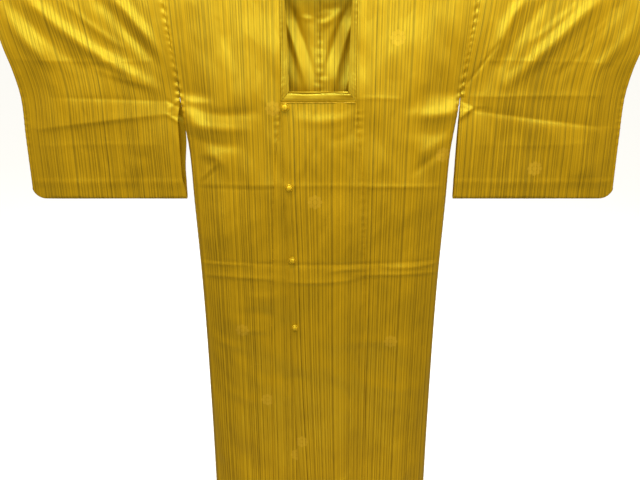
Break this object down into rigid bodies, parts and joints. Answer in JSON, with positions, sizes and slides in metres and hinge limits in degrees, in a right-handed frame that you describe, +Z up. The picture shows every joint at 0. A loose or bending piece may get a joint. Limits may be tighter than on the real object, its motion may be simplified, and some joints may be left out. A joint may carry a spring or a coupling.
{
  "type": "kimono raincoat on a hanging pole",
  "caption": "Full-length kimono raincoat with a square framed neck, a buttoned front overlap and bag sleeves, hanging on a round pole run through both sleeves.",
  "frame": {"origin": "middle of the pole's axis, where the pole that holds the coat up is itself held", "axes": "+Z up, -Y out of the coat's front, +X towards the wearer's left sleeve, along the pole"},
  "size_m": [1.45, 0.0959, 1.4008],
  "materials": {
    "cloth": "gold satin with thin dark brown stripes and a faint woven flower figure",
    "collar": "the same striped satin, folded double",
    "button": "domed mould covered in the same satin",
    "pole": "plain turned wood with a thin clear finish"
  },
  "bodies": {
    "root": {"pole": "pole", "back_left": "cloth", "back_right": "cloth", "front_left": "cloth", "front_right": "cloth", "overlap_right": "cloth", "overlap_left": "cloth", "collar": "collar", "collar_front": "collar", "sleeve_left": "cloth", "sleeve_right": "cloth", "button_1": "button", "button_2": "button", "button_3": "button", "button_4": "button"}
  },
  "joints": []
}
